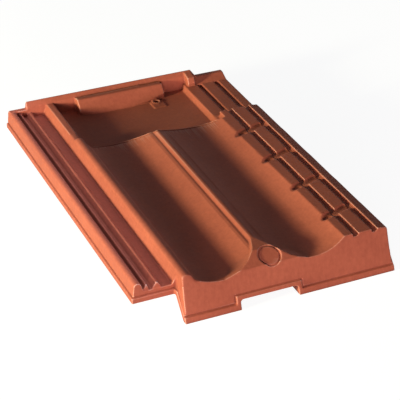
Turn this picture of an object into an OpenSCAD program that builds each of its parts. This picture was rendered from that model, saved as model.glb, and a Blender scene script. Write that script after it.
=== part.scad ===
// Interlocking metal roof tile with two troughs, cast in one piece as a thin shell.
// Millimetres. X runs along the eaves, Y up the slope from the nose to the head, Z up.
// The origin is on the floor, at the middle of the tile's footprint.

/* [Overall] */
// Width over the side lock and the cover roll
tile_w = 290; // [285:1:340]
// Length from the nose to the head
tile_l = 440; // [370:1:530]
// Height of the ridges and of the cover roll
ridge_z = 47; // [45:1:47]
// Thickness of the cast shell
wall = 3; // [2.5:0.5:3.5]

/* [Nose] */
// How far the front wall leans back from its foot to its top
nose_lean = 16.5; // [12:0.5:20]
// Length of the nose, which hangs lower than the side lock
nose_len = 28; // [24:1:34]
// Height of the lip that runs along the lower edges
lip_h = 6; // [4:0.5:7]
// How far that lip stands proud of the walls
lip_proud = 1.5; // [1:0.25:1.75]
// Width of the drain notch in the nose
notch_w = 66; // [50:1:80]
// Height of the drain notch
notch_h = 10; // [8:0.5:12]
// Distance of the notch from the left edge of the tile
notch_x = 110; // [100:1:120]
// Radius of the plain round pad, sunk in the bevel over the notch
pad_r = 12.5; // [10:0.5:14]

/* [Troughs] */
// Radius of the left trough
trough_r = 80; // [76:1:82]
// Height of the lowest line of the left trough
trough_z = 33; // [33:0.5:34.5]
// How much higher the right trough's lowest line is
trough_rise = 1.5; // [0:0.25:2]
// Width of the flat top of the left ridge
ridge_top = 9.5; // [8:0.5:11]
// Width of the bead's top, along the middle ridge
bead_w = 2.5; // [2:0.5:3.5]
// Length of the flat landing at the front end of the middle ridge
landing_l = 40; // [30:1:50]
// How far the landing reaches right of the bead, at the front wall
landing_right = 19; // [19:0.5:22]
// How far it reaches left of the bead
landing_left = 20; // [16:0.5:22]

/* [Side lock] */
// Distance from the left edge to the wall of the first ridge
lock_w = 48; // [46:1:50]
// Height of the lower edge round the tile, behind the nose
lock_z = 20; // [18:0.5:22]
// Height of the lock's channels
lock_floor = 31.5; // [30:0.5:33]
// Height of the lock's outer rim
lock_rim = 42; // [40:0.5:43]

/* [Cover roll] */
// Width of the roll, from the trough's edge to the right edge
roll_w = 51; // [49:1:53]
// Width of each of its two grooves
groove_w = 6.5; // [5.5:0.5:8]
// Depth of the grooves and of the cross channels
groove_d = 3; // [2.5:0.5:4]
// Number of cross channels
cross_n = 4; // [2:1:4]
// Distance from one cross channel to the next
cross_pitch = 70; // [60:1:75]
// How much the roll falls from the nose to the end of the deck
roll_fall = 3.5; // [0:0.5:4]

/* [Head] */
// Length of the recessed head, which the next tile up covers
head_l = 106; // [95:1:115]
// Height of the flat head plate
plate_z = 30; // [29:0.5:31]
// Height of the rim along the head
rim_z = 50; // [48:0.5:53]
// Diameter of the nail hole
nail_d = 6; // [4:0.5:7]
// Length of the raised bar in front of the rim
bar_l = 112; // [90:1:120]

/* [Hidden] */
$fn = 96;
cut = 1;                                    // overshoot of a cutting solid
side_draft = 1.5;                           // lean of the outer side walls
ridge_x = lock_w + 2;                       // left edge of the first ridge
right_x = tile_w - lip_proud;               // foot of the right wall
roll_x1 = right_x - side_draft;             // right edge of the roll
roll_x0 = roll_x1 - roll_w;                 // left edge of the roll
pitch = (roll_x0 - ridge_x) / 2;            // distance between the trough lines
mid_x = ridge_x + pitch;                    // line between the two troughs
bead_x = mid_x + 3.5;                       // middle of the bead
crease_z = ridge_z - 3;                     // bottom of the crease left of the bead
base_z = trough_z - wall;                   // below every surface of the troughs
trough_x = [ridge_x + pitch / 2, roll_x0 - 36];
slope_x = 4.6;                              // run of the first ridge's inner slope
slope_z = 7;                                // its fall
deck_y = tile_l - head_l;                   // where the roll steps down to the head
trough_y = deck_y - 5;                      // where the troughs end at the head plate
head_y = trough_y - 3 * wall;               // front end of the head plate, under the troughs
nose_y = lip_proud;                         // foot of the front wall
top_y = nose_y + nose_lean;                 // top edge of the front wall
lean_k = nose_lean / ridge_z;               // lean of the front wall, per unit of height
groove_x = [roll_x0 + 13.5, roll_x0 + 36];  // middle of each groove
groove_floor = 2.5;                          // width of a groove's floor
cross_w = 11;                               // width of a cross channel
cross_r = (pow(cross_w / 2, 2) + pow(groove_d, 2)) / (2 * groove_d);
cross_y0 = 62;                              // first cross channel, at the trough's edge
cross_skew = 17;                            // its turn from the eaves line, in degrees
head_ridge_z = ridge_z - 3;                 // first ridge beside the head plate
head_roll_z = ridge_z - roll_fall - 7.5;    // roll beside the head plate
roll_tilt = atan(roll_fall / (deck_y - top_y));
head_x0 = ridge_x + 14;                     // left edge of the head plate
head_x1 = roll_x0 - 9;                      // right edge of the head plate
rim_y = tile_l - 10;                        // front foot of the head rim
rim_x0 = 24;                                // left end of the head rim
rim_x1 = roll_x0 + 7.5;                     // right end of its high part
rim_low_z = head_roll_z + 5.5;              // height of its low part
slant = 16;                                 // how far the troughs' end leans back
bank_over = 26;                             // run of a landing's bank on through the front wall
seat_y = top_y + 17;                        // upper end of the pad's plane
seat_z = ridge_z - 11;                      // height of its lower end
pad_x = mid_x + 8.7;                        // middle of the pad
pad_sink = 1.3;                             // depth of the pad below the bevel round it
bevel_left = 48;                            // reach of the bevel to the left of the pad
bevel_w = 84;                               // width of the bevel
bevel_l = 56;                               // its length, up the slope
bar_y = rim_y - 20;                         // front foot of the bar
bar_z = rim_z - 4;                          // top of the bar
bar_bow = 6;                                // bow of its foot
bar_x = 87;                                 // left end of the bar
nail_x = 185;                               // nail hole
nail_y = rim_y - 21;
seat_w = 16;                                // square pad under the nail hole's ring
shoulder_x = roll_x0 - 8;                   // left end of the rim's shoulder, by the roll
shoulder_y = rim_y - 8;                     // its front foot
nib_w = 34;                                 // the two hanging nibs under the head
nib_y = tile_l - 22;
nib_x = [trough_x[0] - 8, trough_x[1] + 8];

// Extrudes an outline of the X-Z plane from y0 to y1
module along_y(y0, y1) {
    translate([0, y1, 0]) rotate([90, 0, 0]) linear_extrude(y1 - y0) children();
}

// Extrudes an outline of the Y-Z plane from x0 to x1
module along_x(x0, x1) {
    translate([x0, 0, 0]) rotate([90, 0, 90]) linear_extrude(x1 - x0) children();
}

// Region of the left trough; g thickens the shell, for the hollow below it
module left_trough(g) {
    reach = 10;
    foot = ridge_x + ridge_top - g * 1.2;
    soft = g == 0 ? 1 : 0;
    intersection() {
        translate([trough_x[0], trough_z + trough_r]) circle(trough_r + g, $fn = 240);
        polygon([
            [foot - 3 * soft, ridge_z + reach], [foot - 3 * soft, ridge_z],
            [foot + soft, ridge_z - 1.3 * soft],
            [foot + slope_x / slope_z * (ridge_z - trough_z + reach), trough_z - reach],
            [mid_x, trough_z - reach], [mid_x, ridge_z + reach]
        ]);
    }
}

// Region of the right trough, steeper towards the roll
module right_trough(g) {
    reach = 10;
    low_z = trough_z + trough_rise;
    rise = ridge_z - low_z;
    run_l = trough_x[1] - mid_x - 7;
    run_r = roll_x0 - trough_x[1];
    r_l = (run_l * run_l + rise * rise) / (2 * rise);
    r_r = (run_r * run_r + rise * rise) / (2 * rise);
    intersection() {
        translate([trough_x[1], low_z + r_l]) circle(r_l + g, $fn = 240);
        translate([mid_x, low_z - reach]) square([trough_x[1] - mid_x, 3 * reach]);
    }
    intersection() {
        translate([trough_x[1], low_z + r_r]) circle(r_r + g, $fn = 240);
        translate([trough_x[1], low_z - reach]) square([roll_x1 - trough_x[1], 3 * reach]);
    }
}

// Region round the bead: the flat bank and the crease on its left, its soft flank on the right
module bead_sides(g) {
    top_l = bead_x - bead_w / 2;
    top_r = bead_x + bead_w / 2;
    if (g == 0) {
        polygon([[mid_x - 7, ridge_z + cut], [mid_x - 7, crease_z - 0.6], [mid_x - 4, crease_z + 0.2],
            [mid_x - 1, crease_z], [top_l - 1, ridge_z - 0.4], [top_l, ridge_z], [top_l, ridge_z + cut]]);
        polygon([[top_r, ridge_z + cut], [top_r, ridge_z], [top_r + 2.5, ridge_z - 1],
            [top_r + 6, ridge_z - 3], [mid_x + 15.5, ridge_z - 4.6], [mid_x + 15.5, ridge_z + cut]]);
    } else {
        translate([mid_x - 7 - g, crease_z - g]) square([19 + 2 * g, ridge_z]);
    }
}

// Section of one lengthwise groove with its top at height z
module groove(i, z, g) {
    translate([groove_x[i], z])
        polygon([
            [-groove_w / 2 - g, 0], [-groove_floor / 2 - g, -groove_d - g],
            [groove_floor / 2 + g, -groove_d - g], [groove_w / 2 + g, 0],
            [groove_w / 2 + g, cut], [-groove_w / 2 - g, cut]
        ]);
}

// Section of the deck: first ridge, trough, middle ridge, trough and cover roll
module deck_section(g) {
    difference() {
        polygon([
            [lock_w + g, -g], [ridge_x - 0.1 + g, ridge_z - 2.4 - g], [ridge_x + 1.3 + g, ridge_z - 0.9 - g],
            [ridge_x + 4 + g, ridge_z - g], [roll_x1 - g, ridge_z - g], [right_x - g, -g]
        ]);
        left_trough(g);
        right_trough(g);
        bead_sides(g);
    }
}

// Takes the top off the falling roll and cuts its two grooves
module roll_top(g) {
    translate([0, top_y, ridge_z]) rotate([-roll_tilt, 0, 0]) {
        for (i = [0, 1]) along_y(-top_y, tile_l) groove(i, 0, g);
        along_y(-top_y, tile_l)
            polygon([[groove_x[1] + groove_w / 2 + 1.5, -g], [roll_x1 + cut, -1.8 - g], [roll_x1 + cut, cut],
                [groove_x[1] + groove_w / 2 + 1.5, cut]]);
        translate([trough_x[1], -top_y, -g]) cube([tile_w, tile_l, ridge_z]);
    }
}

// Takes off the slanted end of the troughs, over the head plate
module deck_end(g) {
    along_x(ridge_x + ridge_top - g, roll_x0 + g)
        polygon([
            [trough_y - slant - g * 1.4, ridge_z], [trough_y - g * 1.4, plate_z],
            [trough_y - g * 1.4, -cut], [tile_l, -cut], [tile_l, rim_z],
            [trough_y - slant - g * 1.4, rim_z]
        ]);
}

// Section of the head: low ridge, flat plate and low roll
module head_section(g) {
    difference() {
        polygon([
            [lock_w + g, -g], [ridge_x + g, head_ridge_z - g],
            [ridge_x + ridge_top - 1 - g, head_ridge_z - g], [head_x0 - g, plate_z - g],
            [head_x1 + g, plate_z - g], [head_x1 + 3.5 + g, head_roll_z - g],
            [roll_x1 - g, head_roll_z - g], [right_x - g, -g]
        ]);
        for (i = [0, 1]) groove(i, head_roll_z, g);
    }
}

// Space behind the leaning front wall
module behind_nose(g) {
    step = g * sqrt(1 + lean_k * lean_k);
    along_x(-cut, tile_w + cut)
        polygon([
            [nose_y + step - lean_k * cut, -cut], [tile_l + cut, -cut],
            [tile_l + cut, rim_z + cut], [top_y + step + lean_k * (rim_z + cut - ridge_z), rim_z + cut]
        ]);
}

// The cross channels, which lead water from the grooves into the right trough
module cross_channels(g) {
    translate([0, top_y, ridge_z]) rotate([-roll_tilt, 0, 0])
        for (k = [0:cross_n - 1])
            translate([roll_x0, cross_y0 - top_y + k * cross_pitch, cross_r - groove_d])
                rotate([0, 0, cross_skew]) rotate([0, 90, 0]) translate([0, 0, -12])
                    cylinder(r = cross_r + g, h = (groove_x[1] - groove_floor - roll_x0) / cos(cross_skew) + 12);
}

// One straight bank of the landing, from one plan point to the next; side is -1 or 1, top its height.
// The tops differ by a tenth of a millimetre, so that no two of them lie in one plane.
module landing_bank(from, to, side, top, bank) {
    translate([bead_x + from[0], from[1], 0])
        rotate([90, 0, atan((to[0] - from[0]) / (from[1] - to[1]))])
            linear_extrude(norm(to - from) + bank_over)
                polygon([
                    [side * bank[len(bank) - 1][0], base_z], [-2 * side, base_z],
                    for (p = bank) [side * p[0], top - p[1]]
                ]);
}

// Flat landing where the middle ridge widens behind the front wall
module landing() {
    far_y = top_y + landing_l;
    bend_y = top_y + landing_l * 0.48;
    left = [[-bead_w / 2 + 0.4, far_y], [-landing_left * 0.43, bend_y], [-landing_left, top_y]];
    right = [[bead_w / 2 - 0.4, far_y], [landing_right, top_y]];
    left_bank = [[-2, 0], [0, 0], [3, 4.8], [8, 8.1], [16, 11.2], [26, 14.5]];     // outwards, down
    right_bank = [[-2, 0], [0, 0], [3.6, 2.7], [5.6, 5], [8, 6.8], [13, 8.8], [26, 13]];
    intersection() {
        union() {
            landing_bank(left[0], left[1], -1, ridge_z - 0.2, left_bank);
            landing_bank(left[1], left[2], -1, ridge_z - 0.1, left_bank);
            landing_bank(right[0], right[1], 1, ridge_z - 0.15, right_bank);
            translate([bead_x, 0, base_z]) linear_extrude(ridge_z - 0.05 - base_z)
                polygon([left[0], right[0], right[1], [landing_right, 0],
                    [-landing_left, 0], left[2], left[1]]);
        }
        behind_nose(0);
    }
}

// Sloped plane of the pad, with its middle as the origin
module pad_place() {
    foot_y = nose_y + lean_k * seat_z;
    translate([pad_x, (foot_y + seat_y) / 2, (seat_z + ridge_z) / 2])
        rotate([atan((ridge_z - seat_z) / (seat_y - foot_y)), 0, 0]) children();
}

// Bevel of the landing's front edge, with the round recess whose floor is the pad
module landing_bevel(g) {
    pad_place() {
        translate([-bevel_left, -bevel_l / 2, pad_sink - g]) cube([bevel_w, bevel_l, ridge_z]);
        translate([0, 0, -g]) cylinder(r = pad_r + g, h = ridge_z / 2);
    }
}

// Outer form of the deck and nose
module deck_solid() {
    difference() {
        union() {
            difference() {
                intersection() {
                    along_y(0, deck_y) deck_section(0);
                    behind_nose(0);
                }
                landing_bevel(0);
            }
            difference() {
                landing();
                landing_bevel(0);
            }
        }
        roll_top(0);
        deck_end(0);
    }
}

// Hollow under the deck
module deck_hollow() {
    difference() {
        intersection() {
            along_y(0, deck_y - wall) deck_section(wall);
            behind_nose(wall);
        }
        roll_top(wall);
        deck_end(wall);
        cross_channels(wall);
        landing_bevel(wall);
    }
}

// Lip along the foot of the front wall, which also frames the notch
module nose_lip() {
    frame = lip_h - lip_proud;
    intersection() {
        along_y(-cut, nose_len)
            union() {
                translate([lock_w - lip_proud, 0])
                    square([tile_w - lock_w + lip_proud, lip_h]);
                translate([notch_x - frame, 0])
                    square([notch_w + 2 * frame, notch_h + frame]);
            }
        along_x(0, tile_w)
            polygon([
                [0, 0], [lean_k * ridge_z / 2, ridge_z / 2],
                [lean_k * ridge_z / 2 + wall + lip_proud, ridge_z / 2], [wall + lip_proud, 0]
            ]);
    }
}

// Lip along a side of the nose, rising to the height z of the side's lower edge
module side_lip(x0, z, y_end) {
    run = nose_len - 3;
    along_x(x0, x0 + lip_proud + wall / 2)
        polygon([
            [0, 0], [lip_h, 0], [run, z], [y_end, z], [y_end, z + lip_h],
            [run - lip_h / 2, z + lip_h], [lip_h / 2, lip_h], [lean_k * lip_h, lip_h]
        ]);
}

// Clears the space under a side wall, behind the nose
module under_side(x0, x1, z) {
    along_x(x0, x1)
        polygon([[lip_h, -cut], [lip_h, 0], [nose_len - 3, z], [tile_l + cut, z], [tile_l + cut, -cut]]);
}

// Side lock: outer rim, two ribs and three channels on a thin floor
module side_lock() {
    difference() {
        along_y(nose_len + lip_proud, tile_l)
            polygon([
                [lip_proud, lock_z], [lip_proud, lock_z + lip_h], [lip_proud + 1.3, lock_rim - 2],
                [lip_proud + 2.4, lock_rim - 0.6], [lip_proud + 4, lock_rim], [8.5, lock_rim],
                [10.5, lock_rim - 1.2], [13.5, lock_floor], [lock_w - 3.5, lock_floor],
                [ridge_x - 0.3, lock_rim], [ridge_x + 1, lock_rim - 2],
                [lock_w + wall, lock_floor], [lock_w + wall, lock_z]
            ]);
        along_y(nose_len + lip_proud + wall, tile_l - wall)
            polygon([
                [lip_proud + wall, lock_z - cut], [lip_proud + wall, lock_floor - wall],
                [lip_proud + wall + 1, lock_rim - wall], [9, lock_rim - wall],
                [11, lock_floor - wall], [lock_w, lock_floor - wall], [lock_w, lock_z - cut]
            ]);
    }
    lock_ribs();
    translate([0, nose_len, lock_z]) cube([lip_proud + wall, tile_l - nose_len, lip_h]);
    translate([0, nose_len, lock_z]) cube([lock_w, lip_proud + wall, lip_h]);
    translate([lip_proud + 1.8, tile_l - 7, lock_floor - wall])
        cube([rim_x0, 7, lock_rim - lock_floor + wall]);
}

// The two ribs of the lock, with rounded front ends
module lock_ribs() {
    ribs = [[13.8, 19.8, 1.6, 6.5], [23, 33.5, 2.2, 6.5]];   // left foot, right foot, top width, height
    for (r = ribs) {
        top_x = (r[0] + r[1] - r[2]) / 2;
        along_y(nose_len + lip_proud + 1, tile_l - 4)
            polygon([[r[0], lock_floor - cut], [r[0], lock_floor], [top_x, lock_floor + r[3]],
                [top_x + r[2], lock_floor + r[3]], [r[1], lock_floor], [r[1], lock_floor - cut]]);
    }
}

// Rim along the head: high over the lock and the plate, low over the roll
module head_rim() {
    low_x = rim_x1 + 6;
    difference() {
        intersection() {
            along_x(rim_x0, roll_x1)
                polygon([[rim_y, plate_z - wall], [rim_y, plate_z], [rim_y + 4.5, rim_z - 5],
                    [rim_y + 8.5, rim_z], [tile_l, rim_z], [tile_l, plate_z - wall]]);
            along_y(rim_y - cut, tile_l + cut)
                polygon([[rim_x0, lock_rim - 6], [rim_x0 + 1.5, rim_z], [rim_x1, rim_z],
                    [low_x, rim_low_z], [roll_x1, rim_low_z], [roll_x1, plate_z - wall],
                    [lock_w, plate_z - wall], [rim_x0 + wall, plate_z - wall]]);
        }
        along_x(lock_w, roll_x0)
            polygon([[rim_y + wall, plate_z - 2 * wall], [rim_y + wall + 2, rim_z - 9],
                [tile_l - wall, rim_z - 5], [tile_l - wall, plate_z - 2 * wall]]);
    }
}

// Plan of the bar, with a bowed front; g insets it
module bar_plan(g) {
    polygon([
        [bar_x + g, rim_y + 6], [bar_x + g, bar_y + bar_bow + g], [bar_x + bar_l * 0.2, bar_y + 1 + g],
        [bar_x + bar_l * 0.4, bar_y + g], [bar_x + bar_l * 0.6, bar_y + 0.5 + g],
        [bar_x + bar_l * 0.8, bar_y + 2.5 + g], [bar_x + bar_l - g, bar_y + bar_bow + 1 + g],
        [bar_x + bar_l - g, rim_y + 6]
    ]);
}

// Raised bar that stops the next tile up, hollow from below
module head_bar() {
    intersection() {
        along_x(bar_x, bar_x + bar_l)
            polygon([[bar_y, plate_z - wall], [bar_y, plate_z], [bar_y + 15, bar_z],
                [rim_y + 6, bar_z], [rim_y + 6, plate_z - wall]]);
        translate([0, 0, plate_z - wall]) linear_extrude(rim_z - plate_z) bar_plan(0);
    }
}

module bar_hollow() {
    intersection() {
        along_x(bar_x + wall, bar_x + bar_l - wall)
            polygon([[bar_y + wall, plate_z - wall - cut], [bar_y + wall, plate_z - wall],
                [bar_y + 16, bar_z - wall], [rim_y - wall, bar_z - wall],
                [rim_y - wall, plate_z - wall - cut]]);
        translate([0, 0, plate_z - 2 * wall]) linear_extrude(rim_z - plate_z) bar_plan(wall + 1);
    }
}

// Shoulder of the rim over the roll, which leans towards the deck
module rim_shoulder() {
    along_x(shoulder_x + 6, rim_x1)
        polygon([[shoulder_y, plate_z - wall], [shoulder_y, plate_z + 10], [shoulder_y + 3, rim_z - 4],
            [rim_y + 7, rim_z - 1], [rim_y + 7, plate_z - wall]]);
    along_x(shoulder_x + 6, roll_x1)
        polygon([[shoulder_y, head_roll_z - wall], [shoulder_y, head_roll_z], [rim_y + 4, rim_low_z],
            [rim_y + 7, rim_low_z], [rim_y + 7, head_roll_z - wall]]);
}

// Raised seat round the nail hole: a square pad and a ring
module nail_seat() {
    translate([nail_x - seat_w / 2, nail_y - 14, plate_z - wall]) cube([seat_w, seat_w, wall + 1]);
    translate([nail_x, nail_y, plate_z - wall]) cylinder(d = nail_d * 1.9, h = wall + 2);
}

// Nib that hangs over the batten and rests on the floor
module nib(x) {
    along_x(x - nib_w / 2, x + nib_w / 2)
        polygon([[nib_y, plate_z - wall / 2], [nib_y + 4, 0], [nib_y + 13, 0], [nib_y + 15, plate_z - wall / 2]]);
}

// Frame of thin walls inside the nose, round the notch
module notch_box() {
    intersection() {
        translate([notch_x - wall, 0, 0]) cube([notch_w + 2 * wall, nose_len - 3, notch_h + wall]);
        behind_nose(0);
    }
}

module notch_cut() {
    soft = 2;
    along_y(-cut, nose_len)
        polygon([
            [notch_x, -cut], [notch_x, notch_h - soft], [notch_x + soft, notch_h],
            [notch_x + notch_w - soft, notch_h], [notch_x + notch_w, notch_h - soft],
            [notch_x + notch_w, -cut]
        ]);
}

module tile() {
    color("#A8553D")
        translate([-tile_w / 2, -tile_l / 2, 0])
            difference() {
                union() {
                    difference() {
                        union() {
                            deck_solid();
                            along_y(head_y, tile_l) head_section(0);
                            head_rim();
                            head_bar();
                            rim_shoulder();
                        }
                        deck_hollow();
                        along_y(head_y - cut, tile_l - wall) head_section(wall);
                        bar_hollow();
                        under_side(lock_w - cut, ridge_x + wall, lock_z);
                        under_side(roll_x1 - wall, tile_w, lock_z);
                        translate([lock_w, tile_l - wall - cut, -cut]) cube([tile_w, tile_l, lock_z + cut]);
                    }
                    side_lock();
                    nose_lip();
                    side_lip(lock_w - lip_proud, lock_z, nose_len + lip_proud);
                    side_lip(right_x - wall / 2, lock_z, tile_l);
                    nail_seat();
                    notch_box();
                    for (x = nib_x) nib(x);
                }
                cross_channels(0);
                notch_cut();
                translate([nail_x, nail_y, 0]) cylinder(d = nail_d, h = rim_z);
            }
}

tile();
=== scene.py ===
import math

import bmesh
import bpy
import numpy as np
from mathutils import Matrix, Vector


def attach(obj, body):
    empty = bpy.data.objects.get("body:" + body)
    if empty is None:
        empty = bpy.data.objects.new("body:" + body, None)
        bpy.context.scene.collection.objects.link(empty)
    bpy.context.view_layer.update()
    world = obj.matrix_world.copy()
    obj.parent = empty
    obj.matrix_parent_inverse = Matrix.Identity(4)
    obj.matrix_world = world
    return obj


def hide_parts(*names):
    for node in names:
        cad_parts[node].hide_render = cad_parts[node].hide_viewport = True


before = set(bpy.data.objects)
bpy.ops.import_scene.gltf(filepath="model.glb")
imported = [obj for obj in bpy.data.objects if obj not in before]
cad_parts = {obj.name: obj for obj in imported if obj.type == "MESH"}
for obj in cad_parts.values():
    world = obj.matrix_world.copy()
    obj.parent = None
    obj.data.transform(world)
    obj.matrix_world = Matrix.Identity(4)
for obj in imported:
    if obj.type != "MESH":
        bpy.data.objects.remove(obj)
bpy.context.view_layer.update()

# ---- Roof tile --------------------------------------------------------------
# Interlocking roof tile with two troughs: one hollow shell of cast aluminium about 3 mm thick,
# sprayed with a matt terracotta coating. The mould leaves its edges round, so the plain solid
# is closed over with a fine skin, and the skin is eased, most of all along its soft ridges.
SKIN_PITCH = 0.0007             # spacing of the skin's points
EDGE_PASSES = 3                 # easing of every edge, to a radius of about 1 mm
MOST_TRIANGLES = 190000
MERGE_REACH = 0.00001           # corners closer than this are one corner
CHANNELS = 4                    # cross channels of the roll
CHANNEL_PITCH = 0.070           # from one cross channel to the next, up the tile
SOFT_PLACES = [                 # lowest corner, highest corner, passes
    ((-0.146, -0.190, 0.036), (-0.131, 0.215, 0.051), 14),       # rim of the side lock
    ((-0.099, -0.215, 0.036), (-0.076, 0.130, 0.051), 18),       # top of the left ridge
    ((-0.080, -0.196, 0.026), (0.092, -0.150, 0.0425), 25),      # banks of the nose's mouths
    ((0.082, 0.100, 0.031), (0.098, 0.120, 0.047), 20),          # corner of the deck by the roll
]
for k in range(CHANNELS):
    up = CHANNEL_PITCH * k
    SOFT_PLACES.append(((0.086, -0.168 + up, 0.035), (0.127, -0.135 + up, 0.051), 12))

tile_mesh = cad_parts["tile"].data.copy()
tile_mesh.name = "roof_tile"
tile_mesh.materials.clear()
shell = bmesh.new()
shell.from_mesh(tile_mesh)
bmesh.ops.remove_doubles(shell, verts=shell.verts, dist=MERGE_REACH)
shell.to_mesh(tile_mesh)
shell.free()
tile = bpy.data.objects.new("roof_tile", tile_mesh)
bpy.context.scene.collection.objects.link(tile)


def apply_modifiers(piece):
    """Turns a piece's live modifiers into its own mesh."""
    graph = bpy.context.evaluated_depsgraph_get()
    graph.update()
    done = bpy.data.meshes.new_from_object(piece.evaluated_get(graph))
    piece.modifiers.clear()
    before, piece.data = piece.data, done
    bpy.data.meshes.remove(before)


skin = tile.modifiers.new("cast skin", "REMESH")
skin.mode = "VOXEL"
skin.voxel_size = SKIN_PITCH
apply_modifiers(tile)

shell = bmesh.new()
shell.from_mesh(tile.data)


def ease(points, passes):
    """Rounds the edges among the points, a little more with each pass."""
    for _ in range(passes):
        bmesh.ops.smooth_vert(shell, verts=points, factor=0.5,
                              use_axis_x=True, use_axis_y=True, use_axis_z=True)


ease(shell.verts, EDGE_PASSES)
for low, high, passes in SOFT_PLACES:
    ease([p for p in shell.verts if all(a <= c <= b for a, c, b in zip(low, p.co, high))], passes)
shell.to_mesh(tile.data)
shell.free()

# Fine lines of the mould, in mm: the path along the surface, the width, and which way and how
# deep it is pressed in.
MOULD_LINES = [
    ([(-99, -216.2, 6.6), (-40.1, -216.2, 6.6), (-40.1, -213.3, 14.9), (36.1, -213.3, 14.9),
      (36.1, -216.2, 6.6), (143.5, -216.2, 6.6)], 2.2, (0, 1.0, 0)),       # over the nose's lip
    ([(-97, -190.3, 26.6), (-143.6, -190.3, 26.6)], 2.2, (0, 0.9, 0)),     # over the lock's lip
    ([(-143.4, -190.3, 26.6), (-143.4, 219, 26.6)], 2.2, (0.9, 0, 0)),     # along the lock's side
    ([(-57, 213.4, 46.0), (53, 213.4, 46.0)], 3.0, (0, 0, -1.6)),          # behind the bar
    ([(28, 213.4, 46.0), (53, 213.4, 46.0)], 5.0, (0, 0, -1.0)),           # and deeper at its right
]
for x in (102.4, 124.9):        # left bank of each groove
    MOULD_LINES.append(([(x, -202, 45.6), (x, 114, 42.1)], 3.6, (0, 0, -1.2)))
for x in (106.9, 129.4):        # right bank of each groove
    MOULD_LINES.append(([(x, -202, 45.8), (x, 114, 42.3)], 2.8, (0.8, 0, -0.4)))
CHANNEL_DROP = 0.78             # how much lower each cross channel lies than the one before
for k in range(CHANNELS):       # pits where the cross channels meet the trough
    up, z = 1000 * CHANNEL_PITCH * k, 43.6 - CHANNEL_DROP * k
    MOULD_LINES.append(([(92.5, -159.6 + up, z), (96.0, -158.5 + up, z)], 9.0, (0, 0, -1.3)))
PAD_MIDDLE = (6.7, -195.4, 41.4)
PAD_REACH = (11.9, 10.5, 5.6)   # half the ring's extent across, up the tile and in height
ring = []                       # the ring round the nose's pad
for step in range(25):
    turn = step / 12 * math.pi
    ring.append((PAD_MIDDLE[0] + PAD_REACH[0] * math.cos(turn),
                 PAD_MIDDLE[1] + PAD_REACH[1] * math.sin(turn),
                 PAD_MIDDLE[2] + PAD_REACH[2] * math.sin(turn)))
MOULD_LINES.append((ring, 2.4, (0, 0.45, -0.85)))

points = np.empty(len(tile.data.vertices) * 3)
tile.data.vertices.foreach_get("co", points)
points = points.reshape(-1, 3) * 1000
for path, width, push in MOULD_LINES:
    pressed = np.zeros(len(points))
    for start, end in zip(np.array(path[:-1]), np.array(path[1:])):
        near = np.all((points > np.minimum(start, end) - width)
                      & (points < np.maximum(start, end) + width), axis=1)
        run = end - start
        along = np.clip((points[near] - start) @ run / (run @ run), 0, 1)
        away = np.linalg.norm(points[near] - start - along[:, None] * run, axis=1)
        pressed[near] = np.maximum(pressed[near], 1 - (2 * away / width) ** 2)
    points += pressed.clip(0)[:, None] * np.array(push)

# One more line runs across both troughs, just before the slanted plane that ends them.
END_PLANE = (np.array([0, 106.0, 33.2]), np.array([0, 0.730, 0.684]))   # a point, and its normal
END_LINE = (1.3, 1.0, 1.2)      # distance before the plane, half width, depth
LEAST_UPWARD = 0.2              # only the weather side is pressed, not the underside
LOWEST, WIDEST = 31.5, 82       # nor the head plate, the ridge's walls or the roll
facing = np.empty(points.size)
tile.data.vertices.foreach_get("normal", facing)
before_end = (points - END_PLANE[0]) @ END_PLANE[1] + END_LINE[0]
pressed = (1 - (before_end / END_LINE[1]) ** 2).clip(0)
pressed[(facing.reshape(-1, 3)[:, 2] < LEAST_UPWARD) | (points[:, 2] < LOWEST)
        | (np.abs(points[:, 0]) > WIDEST)] = 0
points[:, 2] -= END_LINE[2] * pressed
tile.data.vertices.foreach_set("co", (points / 1000).ravel())
tile.data.update()

thinned = tile.modifiers.new("thinned skin", "DECIMATE")
thinned.ratio = MOST_TRIANGLES / (2 * len(tile.data.polygons))
apply_modifiers(tile)
tile.data.shade_smooth()
evened = tile.modifiers.new("flats stay flat beside edges", "WEIGHTED_NORMAL")
evened.mode = "FACE_AREA"
apply_modifiers(tile)

# The coating is a sprayed, stoved mineral colour on cast metal: matt, slightly mottled, with
# faint runs down its steep faces. It gives the eye a warm brick red with almost no shine.
TERRACOTTA_DEEP = "#A1533F"     # where the coat is thick
TERRACOTTA_PALE = "#B8634B"     # where it is thin
CREASE_SHADE = "#5A2A20"              # painted shade in the creases
EDGE_HIGHLIGHT = "#DDAA98"                # painted highlight on sharp edges


def linear(code):
    """A hex sRGB colour as linear red, green, blue and alpha."""
    parts = (int(code[i:i + 2], 16) / 255 for i in (1, 3, 5))
    return tuple(c / 12.92 if c <= 0.04045 else ((c + 0.055) / 1.055) ** 2.4
                 for c in parts) + (1.0,)


def node(tree, kind, links=None, inputs=None, **settings):
    """Adds a node: links and inputs are by socket name or number, settings are its own."""
    made = tree.nodes.new(kind)
    for name, value in settings.items():
        setattr(made, name, value)
    for name, value in (inputs or {}).items():
        made.inputs[name].default_value = value
    for name, source in (links or {}).items():
        tree.links.new(source, made.inputs[name])
    return made


coating = bpy.data.materials.new("matt terracotta coating on cast aluminium")
coating.use_nodes = True
tree = coating.node_tree
tree.nodes.clear()
place = node(tree, "ShaderNodeTexCoord").outputs["Object"]

# Clouds about 70 mm wide, where the spray gun laid more or less colour.
clouds = node(tree, "ShaderNodeTexNoise", {"Vector": place},
              {"Scale": 1 / 0.070, "Detail": 3.0, "Roughness": 0.5})
# Mottling about 5 mm wide, from the casting's own skin. The real grain is finer, below 1 mm,
# and is drawn this coarse so that it shows.
mottle = node(tree, "ShaderNodeTexNoise", {"Vector": place},
              {"Scale": 1 / 0.005, "Detail": 4.0, "Roughness": 0.6})
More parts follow.
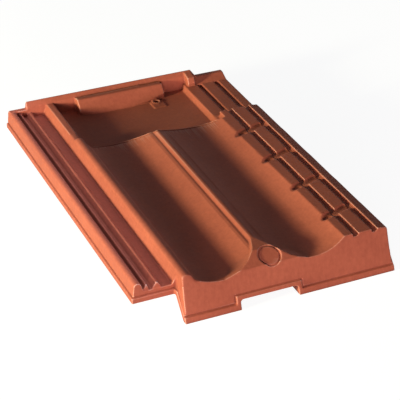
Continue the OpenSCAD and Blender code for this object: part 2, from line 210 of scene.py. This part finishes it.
# Runs 3 mm wide and 60 mm tall, down the steep faces.
tall = node(tree, "ShaderNodeMapping", {"Vector": place},
            {"Scale": (1 / 0.003, 1 / 0.003, 1 / 0.060)})
runs = node(tree, "ShaderNodeTexNoise", {"Vector": tall.outputs["Vector"]},
            {"Scale": 1.0, "Detail": 2.0, "Roughness": 0.5})
shade = node(tree, "ShaderNodeMix", {"A": clouds.outputs["Fac"], "B": mottle.outputs["Fac"]},
             {"Factor": 0.45}, data_type="FLOAT")
shade = node(tree, "ShaderNodeMix", {"A": shade.outputs["Result"], "B": runs.outputs["Fac"]},
             {"Factor": 0.25}, data_type="FLOAT")
tint = node(tree, "ShaderNodeValToRGB", {"Fac": shade.outputs["Result"]})
tint.color_ramp.elements[0].position = 0.35
tint.color_ramp.elements[0].color = linear(TERRACOTTA_DEEP)
tint.color_ramp.elements[1].position = 0.65
tint.color_ramp.elements[1].color = linear(TERRACOTTA_PALE)

# Painted shade: the colour darkens in creases up to 6 mm deep, where ambient occlusion finds them
# closed in.
closed = node(tree, "ShaderNodeAmbientOcclusion", inputs={"Distance": 0.006}, samples=8)
painted_crease_shade = node(tree, "ShaderNodeMapRange", {"Value": closed.outputs["AO"]},
              {"From Min": 0.3, "From Max": 0.92, "To Min": 0.85, "To Max": 0.0})
coat_and_painted_light = node(tree, "ShaderNodeMix", {"Factor": painted_crease_shade.outputs["Result"], 6: tint.outputs["Color"]},
            {7: linear(CREASE_SHADE)}, data_type="RGBA")
# Painted highlight: sharp edges are paler, standing in for the light they catch.
sharp = node(tree, "ShaderNodeNewGeometry").outputs["Pointiness"]
edge_highlight = node(tree, "ShaderNodeMapRange", {"Value": sharp},
            {"From Min": 0.515, "From Max": 0.57, "To Min": 0.0, "To Max": 0.9})
coat_and_painted_light = node(tree, "ShaderNodeMix", {"Factor": edge_highlight.outputs["Result"], 6: coat_and_painted_light.outputs[2]},
            {7: linear(EDGE_HIGHLIGHT)}, data_type="RGBA")

dull = node(tree, "ShaderNodeMapRange", {"Value": mottle.outputs["Fac"]},
            {"From Min": 0.3, "From Max": 0.7, "To Min": 0.52, "To Max": 0.66})
relief = node(tree, "ShaderNodeBump", {"Height": mottle.outputs["Fac"]},
              {"Strength": 0.25, "Distance": 0.0003})
paint = node(tree, "ShaderNodeBsdfPrincipled",
             {"Base Color": coat_and_painted_light.outputs[2], "Roughness": dull.outputs["Result"],
              "Normal": relief.outputs["Normal"]},
             {"IOR": 1.5, "Specular IOR Level": 0.12})
node(tree, "ShaderNodeOutputMaterial", {"Surface": paint.outputs["BSDF"]})

tile.data.materials.clear()
tile.data.materials.append(coating)
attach(tile, "root")
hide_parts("tile")

# ---- Floor and backdrop -------------------------------------------------------
# A plain sheet of white paper that runs on to the horizon. It is white to the eye and in
# reflections, keeps the tile's shadow, and throws back no more light than real paper.
floor_mesh = bpy.data.meshes.new("floor")
sheet = bmesh.new()
bmesh.ops.create_grid(sheet, x_segments=1, y_segments=1, size=6.0)
sheet.to_mesh(floor_mesh)
sheet.free()
floor = bpy.data.objects.new("floor", floor_mesh)
bpy.context.scene.collection.objects.link(floor)

paper = bpy.data.materials.new("matt white paper")
paper.use_nodes = True
tree = paper.node_tree
tree.nodes.clear()


def seen_white(tree):
    """1 for a ray from the camera or a reflection, 0 for one that lights the tile."""
    ray = node(tree, "ShaderNodeLightPath").outputs
    seen = node(tree, "ShaderNodeMath", {0: ray["Is Camera Ray"], 1: ray["Is Glossy Ray"]},
                operation="MAXIMUM")
    return node(tree, "ShaderNodeMath", {0: seen.outputs[0], 1: ray["Is Transmission Ray"]},
                operation="MAXIMUM").outputs[0]


real = node(tree, "ShaderNodeBsdfDiffuse", inputs={"Color": (0.8, 0.8, 0.8, 1.0)})
shadow = node(tree, "ShaderNodeBsdfDiffuse", inputs={"Color": (0.22, 0.22, 0.22, 1.0)})
white = node(tree, "ShaderNodeEmission", inputs={"Strength": 0.93})
shown = node(tree, "ShaderNodeAddShader", {0: shadow.outputs["BSDF"], 1: white.outputs["Emission"]})
both = node(tree, "ShaderNodeMixShader",
            {"Fac": seen_white(tree), 1: real.outputs["BSDF"], 2: shown.outputs["Shader"]})
node(tree, "ShaderNodeOutputMaterial", {"Surface": both.outputs["Shader"]})
floor_mesh.materials.append(paper)

# ---- Light ---------------------------------------------------------------------
# A studio with a low, warm main lamp to the tile's left, a far and weaker one in front, a cool
# strip over the side lock with a grid that keeps it off the rest, and a faint cool light all round.
world = bpy.data.worlds.new("studio")
bpy.context.scene.world = world
world.use_nodes = True
tree = world.node_tree
tree.nodes.clear()
room = node(tree, "ShaderNodeBackground",
            inputs={"Color": (0.67, 0.77, 1.0, 1.0), "Strength": 0.05})
wall = node(tree, "ShaderNodeBackground", inputs={"Color": (1.0, 1.0, 1.0, 1.0), "Strength": 1.0})
both = node(tree, "ShaderNodeMixShader",
            {"Fac": seen_white(tree), 1: room.outputs["Background"], 2: wall.outputs["Background"]})
node(tree, "ShaderNodeOutputWorld", {"Surface": both.outputs["Shader"]})


def soft_lamp(name, place, aim, width, length, beam, power, colour):
    """A soft panel lamp, in metres, degrees and watts, that shines from its place to its aim."""
    panel = bpy.data.lights.new(name, "AREA")
    panel.shape = "RECTANGLE"
    panel.size = width
    panel.size_y = length
    panel.spread = math.radians(beam)
    panel.energy = power
    panel.color = colour
    holder = bpy.data.objects.new(name, panel)
    bpy.context.scene.collection.objects.link(holder)
    holder.location = place
    holder.rotation_euler = (Vector(place) - Vector(aim)).to_track_quat("Z", "Y").to_euler()
    holder.visible_camera = False


soft_lamp("main panel", (-1.936, -0.307, 0.408), (0, 0, 0.03), 0.20, 0.20, 180, 57,
          (0.98, 1.0, 0.68))
soft_lamp("front panel", (-1.300, -3.430, 0.360), (0, 0, 0.03), 1.20, 0.40, 180, 98,
          (1.0, 0.84, 0.86))
soft_lamp("gridded strip", (-0.140, 0.0, 0.20), (-0.129, 0, 0.03), 0.50, 0.04, 32, 0.065,
          (0.70, 0.76, 1.0))

# ---- Camera --------------------------------------------------------------------
# A long lens above the tile's front left corner.
lens = bpy.data.cameras.new("camera")
lens.lens = 136.91
lens.sensor_width = 36
camera = bpy.data.objects.new("camera", lens)
bpy.context.scene.collection.objects.link(camera)
camera.location = (-0.59397, -1.37061, 0.90181)
camera.rotation_euler = Vector((0.34792, 0.78280, -0.51592)).to_track_quat("-Z", "Y").to_euler()
bpy.context.scene.camera = camera
bpy.context.scene.view_settings.view_transform = "Standard"
